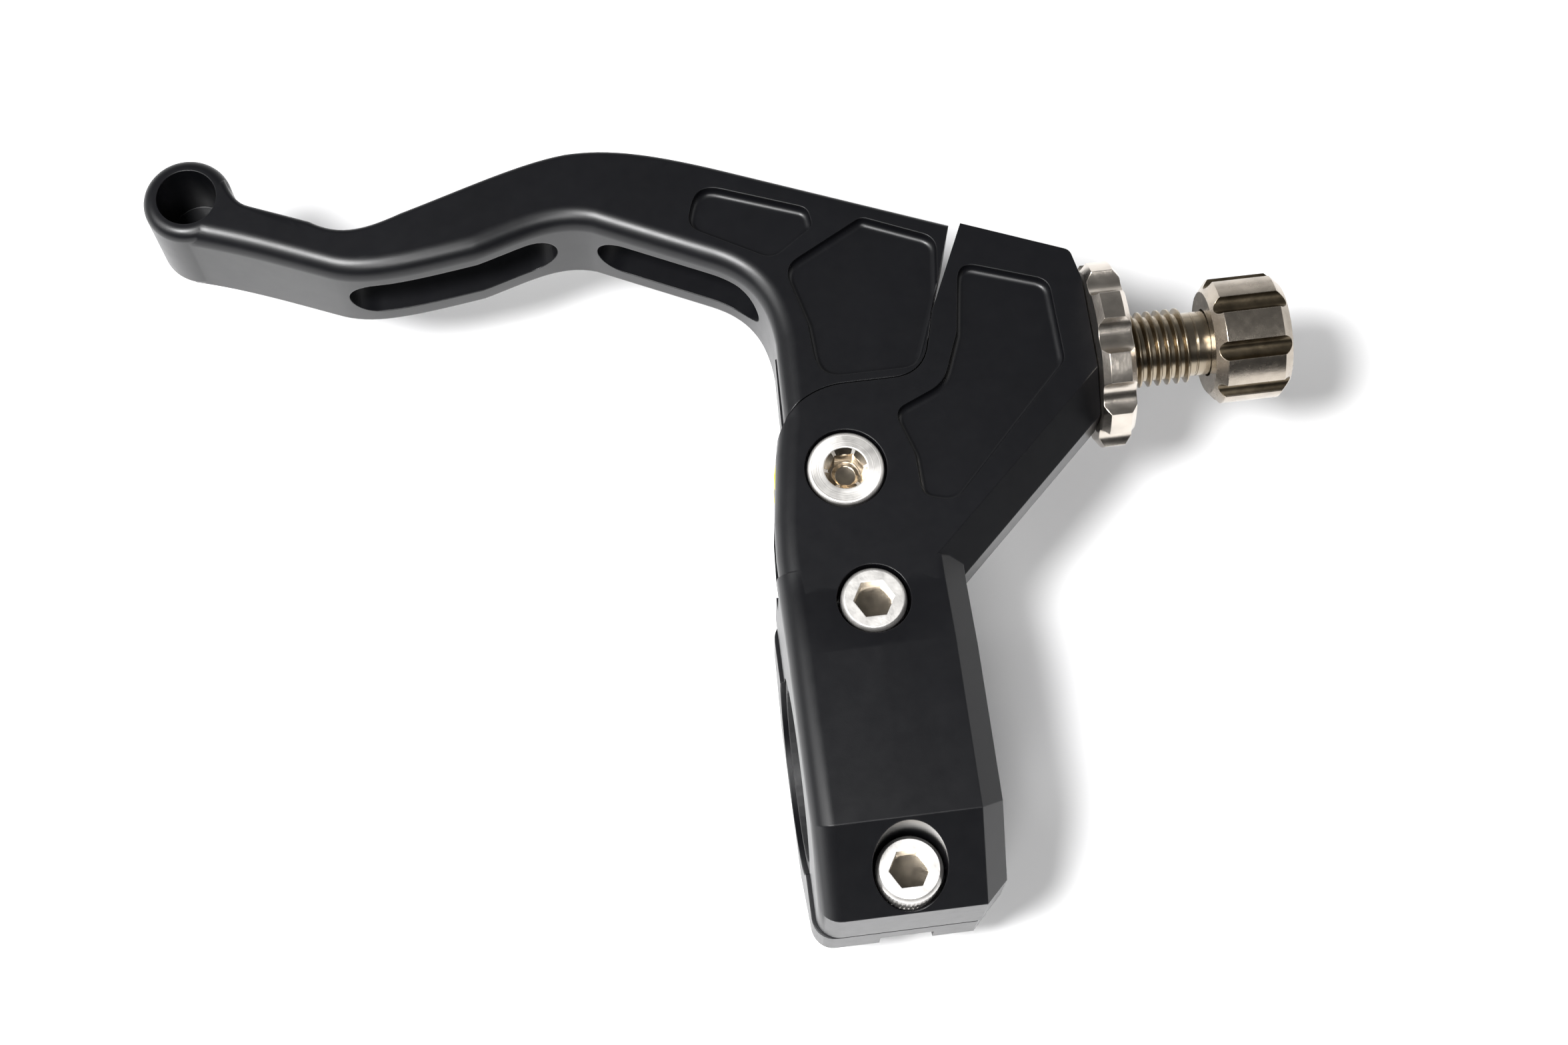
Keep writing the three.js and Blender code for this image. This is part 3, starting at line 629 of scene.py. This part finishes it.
def knurl_cutter(ring_radius, notch_radius, count, z0, z1):
    """A ring of thin upright prisms in one mesh, which together cut a straight knurl."""
    bm = bmesh.new()
    for i in range(count):
        angle = 2 * math.pi * i / count
        centre = (ring_radius * math.cos(angle), ring_radius * math.sin(angle))
        ring = circle(notch_radius, 6, centre)
        skin_rings(bm, [[p.to_3d() + Vector((0, 0, z)) for p in ring] for z in (z0, z1)])
    return object_of(bm)


def make_clamp_bolt(y, head_top, shank_length):
    """Socket-head screw with a knurled side, a chamfered rim and a drilled hex socket."""
    under = head_top - BOLT_HEAD_DEPTH
    end = under - shank_length
    body = turned([
        (0.0, end), (1.9, end), (2.45, end + 0.6), (2.45, under), (4.0, under), (BOLT_HEAD_R, under + 0.2),
        (BOLT_HEAD_R, head_top - 0.55), (3.95, head_top - 0.2), (3.7, head_top), (0.0, head_top),
    ])
    knurl = knurl_cutter(4.27, 0.22, 48, under + 0.5, head_top - 0.75)
    socket = prism(hexagon(BOLT_SOCKET), head_top - 2.5, head_top + 2)
    drill = turned([
        (0, head_top - 3.4), (2.2, head_top - 2.5), (2.2, head_top - 2.3), (0, head_top - 2.3),
    ], 48)
    return shifted(cut(body, knurl, socket, drill), 0, y)


def make_pivot_bolt():
    """Low head with a bevelled rim, a countersunk hex socket and a drilled round bottom."""
    top = PIVOT_HEAD_TOP
    body = turned([
        (0.0, top - 18.8), (2.5, top - 18.8), (PIVOT_SHANK_R, top - 18.3), (PIVOT_SHANK_R, top - 1.8),
        (4.75, top - 1.8), (PIVOT_HEAD_R, top - 1.6), (PIVOT_HEAD_R, top - 0.35), (4.72, top - 0.1),
        (4.55, top), (0.0, top),
    ])
    countersink = turned([
        (0, top - 0.75), (2.05, top - 0.75), (2.75, top - 0.1), (3.0, top + 0.15), (0, top + 0.15),
    ], 72)
    socket = prism(hexagon(PIVOT_SOCKET), top - 2.6, top - 0.3)
    drill = turned([
        (0, top - 3.3), (1.3, top - 3.0), (1.99, top - 2.4), (1.99, top - 2.2), (0, top - 2.2),
    ], 48)
    return shifted(cut(body, countersink, socket, drill), *PIVOT)


def make_pivot_nut():
    """Lock nut: hexagon with rounded corners top and bottom, and a collar for its insert."""
    top = BOTTOM_Z + 1.3
    low = top - 4.6
    flats = prism(hexagon(NUT_HEX), low, top)
    corner_cone = turned([
        (0, low - 0.1), (4.9, low - 0.1), (6.2, low + 0.75), (6.2, top - 0.75), (4.9, top + 0.1),
        (0, top + 0.1),
    ])
    collar = turned([(0, low - 1.6), (4.1, low - 1.6), (4.6, low - 1.1), (4.6, low + 0.3), (0, low + 0.3)])
    body = joined(shared(flats, corner_cone), collar)
    body = cut(body, disc(3.05, -HIGH, HIGH), disc(3.95, low - 1.2, low + 0.1), disc(3.6, low - 2, low - 1))
    return shifted(body, *PIVOT)


# ------------------------------------------------------------------ adjuster, about its own Z

def lobed(profile, radius, lobes, scallop_r, depth, turn_deg, z0, z1):
    """A turned body with round scallops cut along its rim."""
    body = turned(profile, 144)
    reach = radius + scallop_r - depth
    tools = []
    for i in range(lobes):
        angle = math.radians(turn_deg) + 2 * math.pi * i / lobes
        scallop = disc(scallop_r, z0 - 1, z1 + 1, 40)
        tools.append(shifted(scallop, reach * math.cos(angle), reach * math.sin(angle)))
    return cut(body, *tools)


def make_lock_wheel():
    z0, z1 = WHEEL_X
    r = WHEEL_R
    profile = [(0, z0), (r - 1.1, z0), (r, z0 + 0.8), (r, z1 - 0.8), (r - 1.0, z1), (0, z1)]
    bore = turned([(0, z0 - 1), (5.0, z0 - 1), (5.0, z1 - 0.5), (5.5, z1 + 0.1), (5.5, z1 + 1), (0, z1 + 1)])
    return cut(lobed(profile, r, 9, 2.6, 1.6, 31.5, z0, z1), bore)


def make_knob():
    z0, z1 = KNOB_X
    r = KNOB_R
    profile = [(0, z0), (r - 1.5, z0), (r, z0 + 1.3), (r, z1 - 1.3), (r - 1.3, z1), (0, z1)]
    body = lobed(profile, r, 8, 1.3, 1.1, 32.8, z0, z1)
    neck_hole = disc(4.45, z0 - 1, SCREW_END_X + 0.3)
    mouth = turned([
        (0, SCREW_END_X + 0.2), (4.5, SCREW_END_X + 0.2), (4.5, z1 - 0.5), (4.9, z1 + 0.1), (4.9, z1 + 1),
        (0, z1 + 1),
    ])
    return cut(body, neck_hole, mouth)


def make_screw():
    """Hollow screw: its core, and a true helical thread on the stretch that reaches the neck."""
    pitch, crest, root = THREAD_PITCH, THREAD_CREST_R, THREAD_ROOT_R
    sides = 96
    start, end = THREAD_START_X, THREAD_END_X + 0.55
    buried = root - 0.6
    section = [
        (-0.5, root), (-0.22, root), (0.06, crest), (0.2, crest), (0.48, root), (0.48, buried),
        (-0.5, buried),
    ]
    count = int((end - start) / pitch * sides)
    rows = []
    for i in range(count + 1):
        angle = 2 * math.pi * i / sides
        fade = min(1.0, i / sides * 3, (count - i) / sides * 3)
        row = []
        for along, radius in section:
            r = radius if radius < root else root + (radius - root) * fade
            z = start + pitch * (i / sides + along)
            row.append(Vector((r * math.cos(angle), r * math.sin(angle), z)))
        rows.append(row)
    bm = bmesh.new()
    skin_rings(bm, rows)
    thread = object_of(bm)
    line = NECK_LINE_X
    core = turned([
        (CABLE_BORE_R, 24.0), (3.6, 24.0), (root + 0.02, THREAD_START_X), (root + 0.02, THREAD_END_X - 0.2),
        (NECK_R, THREAD_END_X + 0.1), (NECK_R, line), (NECK_R - 0.12, line + 0.08),
        (NECK_R - 0.12, line + 0.2), (NECK_R, line + 0.28), (NECK_R, SCREW_END_X), (CABLE_BORE_R, SCREW_END_X),
    ])
    return core, thread


def make_housing_seat():
    """Cup at the bottom of the knob's mouth, with a thin floor round the cable's bore."""
    low, high = SCREW_END_X + 0.5, KNOB_X[1] - 0.2
    return turned([
        (CABLE_BORE_R, low), (4.2, low), (4.4, low + 0.2), (4.4, high - 0.2), (4.2, high), (3.6, high),
        (3.4, high - 0.2), (3.4, low + 0.9), (3.3, low + 0.8), (1.6, low + 0.8), (CABLE_BORE_R, low + 0.6),
    ])


def onto_adjuster(piece):
    return shifted(along_x(piece), 0, CABLE_Y, MID_Z)


def paint_socket_shade(piece, x, y, top_z):
    """Paints the inside of a hex socket a darker, browner steel: painted shade in the recess."""
    piece.data.materials.append(SOCKET_SHADE_STEEL)
    for polygon in piece.data.polygons:
        centre = polygon.center / MM
        away = math.hypot(centre.x - x, centre.y - y)
        if away < 2.5 and top_z - 4.0 < centre.z < top_z - 0.3:
            polygon.material_index = 1


def paint_groove_shade(piece, rim_radius):
    """Paints the flutes round the knob a darker, browner steel than its lands and end faces: painted shade in
    the flutes.
    """
    piece.data.materials.append(GROOVE_SHADE_STEEL)
    for polygon in piece.data.polygons:
        centre = polygon.center / MM
        away = math.hypot(centre.y - CABLE_Y, centre.z - MID_Z)
        if abs(polygon.normal.x) < 0.3 and 0.8 * rim_radius < away < 0.985 * rim_radius:
            polygon.material_index = 1


# ------------------------------------------------------------------ pieces

finished(make_lever(), "lever_blade", ["lever"], "lever", LEVER_BLACK)
finished(make_perch(), "perch", ["perch_body"], "perch", PERCH_BLACK)
finished(make_cap(), "clamp_lower_half", ["clamp_cap"], "perch", CAP_BLACK)
front_bolt = make_clamp_bolt(BOLT_Y, FRONT_HEAD_TOP, 20)
rear_bolt = make_clamp_bolt(-BOLT_Y, REAR_HEAD_TOP, 15)
front = finished(front_bolt, "clamp_screw_front", ["clamp_bolt_front"], "perch", BOLT_STEEL)
rear = finished(rear_bolt, "clamp_screw_rear", ["clamp_bolt_rear"], "perch", BOLT_STEEL)
pivot = finished(make_pivot_bolt(), "pivot_screw", ["pivot_bolt"], "perch", PIVOT_STEEL)
# Painted shade inside the three hex sockets.
paint_socket_shade(front, 0, BOLT_Y, FRONT_HEAD_TOP)
paint_socket_shade(rear, 0, -BOLT_Y, REAR_HEAD_TOP)
paint_socket_shade(pivot, *PIVOT, PIVOT_HEAD_TOP)
finished(make_pivot_nut(), "pivot_lock_nut", ["pivot_nut"], "perch", NUT_STEEL)
finished(onto_adjuster(make_lock_wheel()), "lock_wheel_lobed", ["lock_wheel"], "lock_wheel", WHEEL_STEEL)
knob = onto_adjuster(make_knob())
finished(knob, "adjuster_knob_fluted", ["adjuster_knob"], "adjuster", KNOB_STEEL)
# Painted shade in the knob's flutes.
paint_groove_shade(knob, KNOB_R)
screw_core, screw_thread = (onto_adjuster(piece) for piece in make_screw())
finished(screw_core, "adjuster_screw_core", ["adjuster_screw"], "adjuster", SCREW_STEEL)
finished(screw_thread, "adjuster_screw_thread", ["adjuster_screw"], "adjuster", SCREW_STEEL)
finished(onto_adjuster(make_housing_seat()), "housing_cup", ["housing_seat"], "housing_seat", SEAT_BLACK)

CARRIED = {
    "bar_sleeve_upper": SLEEVE_BLACK, "bar_sleeve_lower": SLEEVE_BLACK, "pivot_nut_insert": INSERT_BLUE,
    "bearing_inner_race": RACE_STEEL, "bearing_outer_race": RACE_STEEL, "bearing_ball_cage": RACE_STEEL,
    "bearing_shield_upper": RACE_STEEL, "bearing_shield_lower": RACE_STEEL,
    "bearing_spacer_upper": NUT_STEEL, "bearing_spacer_lower": NUT_STEEL,
    "thrust_washer_upper": WASHER_YELLOW, "thrust_washer_lower": WASHER_YELLOW,
}
for node, material in CARRIED.items():
    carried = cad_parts[node]
    carried.data.materials.clear()
    carried.data.materials.append(material)
    for polygon in carried.data.polygons:
        polygon.material_index = 0
        polygon.use_smooth = True
    carried.data.set_sharp_from_angle(angle=math.radians(30))


# ------------------------------------------------------------------ floor, light and camera, in metres

LIGHT_TARGET = Vector((0, 0.03, 0))
SENSOR_WIDTH = 36.0
FOCAL_PIXELS = 3800
FRAME_WIDTH = 2352
CAMERA_PLACE = (-0.026672, -0.076633, 0.318480)


def make_floor():
    bm = bmesh.new()
    bmesh.ops.create_grid(bm, x_segments=1, y_segments=1, size=2.0)
    floor = object_of(bm, "floor")
    floor.location.z = FLOOR_Z * MM
    paper = Recipe("floor_white", Roughness=0.9)
    mottle = paper.ramp(paper.noise(30.0), [(0.3, (0.84, 0.84, 0.85)), (0.7, (0.88, 0.88, 0.88))])
    paper.send(mottle, "Base Color")
    floor.data.materials.append(paper.material)


def area_light(name, place, size, power):
    """A white disc-shaped light aimed at LIGHT_TARGET."""
    lamp = bpy.data.lights.new(name, "AREA")
    lamp.shape = "DISK"
    lamp.size = size
    lamp.energy = power
    holder = bpy.data.objects.new(name, lamp)
    holder.location = place
    holder.rotation_euler = (LIGHT_TARGET - Vector(place)).to_track_quat("-Z", "Y").to_euler()
    bpy.context.scene.collection.objects.link(holder)


def make_world():
    """Bright at and below the far horizon, dim overhead and dark on the near side."""
    world = bpy.data.worlds.new("studio")
    world.use_nodes = True
    bpy.context.scene.world = world
    tree = world.node_tree
    split = tree.nodes.new("ShaderNodeSeparateXYZ")
    tree.links.new(tree.nodes.new("ShaderNodeTexCoord").outputs["Generated"], split.inputs[0])
    mix = tree.nodes.new("ShaderNodeMath")
    mix.operation = "MULTIPLY"
    ramps = {
        "Z": [(0.0, 1.0), (0.22, 0.75), (0.5, 0.2), (1.0, 0.10)],
        "Y": [(-0.9, 0.02), (-0.4, 0.25), (0.0, 1.0), (1.0, 1.0)],
    }
    for slot, (axis, stops) in enumerate(ramps.items()):
        spread = tree.nodes.new("ShaderNodeMapRange")
        spread.inputs["From Min"].default_value = -1.0
        tree.links.new(split.outputs[axis], spread.inputs["Value"])
        ramp = tree.nodes.new("ShaderNodeValToRGB")
        tree.links.new(spread.outputs[0], ramp.inputs[0])
        while len(ramp.color_ramp.elements) < len(stops):
            ramp.color_ramp.elements.new(0.5)
        for element, (position, level) in zip(ramp.color_ramp.elements, stops):
            element.position = (position + 1) / 2
            element.color = (level, level, level, 1)
        tree.links.new(ramp.outputs[0], mix.inputs[slot])
    tree.links.new(mix.outputs[0], tree.nodes["Background"].inputs["Color"])


def make_camera():
    data = bpy.data.cameras.new("camera")
    data.sensor_width = SENSOR_WIDTH
    data.lens = SENSOR_WIDTH * FOCAL_PIXELS / FRAME_WIDTH
    data.clip_start = 0.01
    camera = bpy.data.objects.new("camera", data)
    right = Vector((0.99176, -0.12761, 0.01141))
    down = Vector((-0.11654, -0.93555, -0.33342))
    towards = Vector((0.05323, 0.32934, -0.94271))
    turn = Matrix((right, -down, -towards)).transposed().to_4x4()
    camera.matrix_world = Matrix.Translation(CAMERA_PLACE) @ turn
    bpy.context.scene.collection.objects.link(camera)
    bpy.context.scene.camera = camera


make_floor()
make_world()
area_light("key", (-0.23, -0.075, 0.52), 0.15, 5.2)
area_light("near_soft", (-0.05, -0.30, 0.50), 0.22, 1.6)
area_light("left_soft", (-0.46, 0.02, 0.44), 0.40, 1.8)
area_light("right_soft", (0.55, 0.15, 0.35), 0.40, 0.35)
make_camera()
bpy.context.scene.view_settings.view_transform = "Standard"
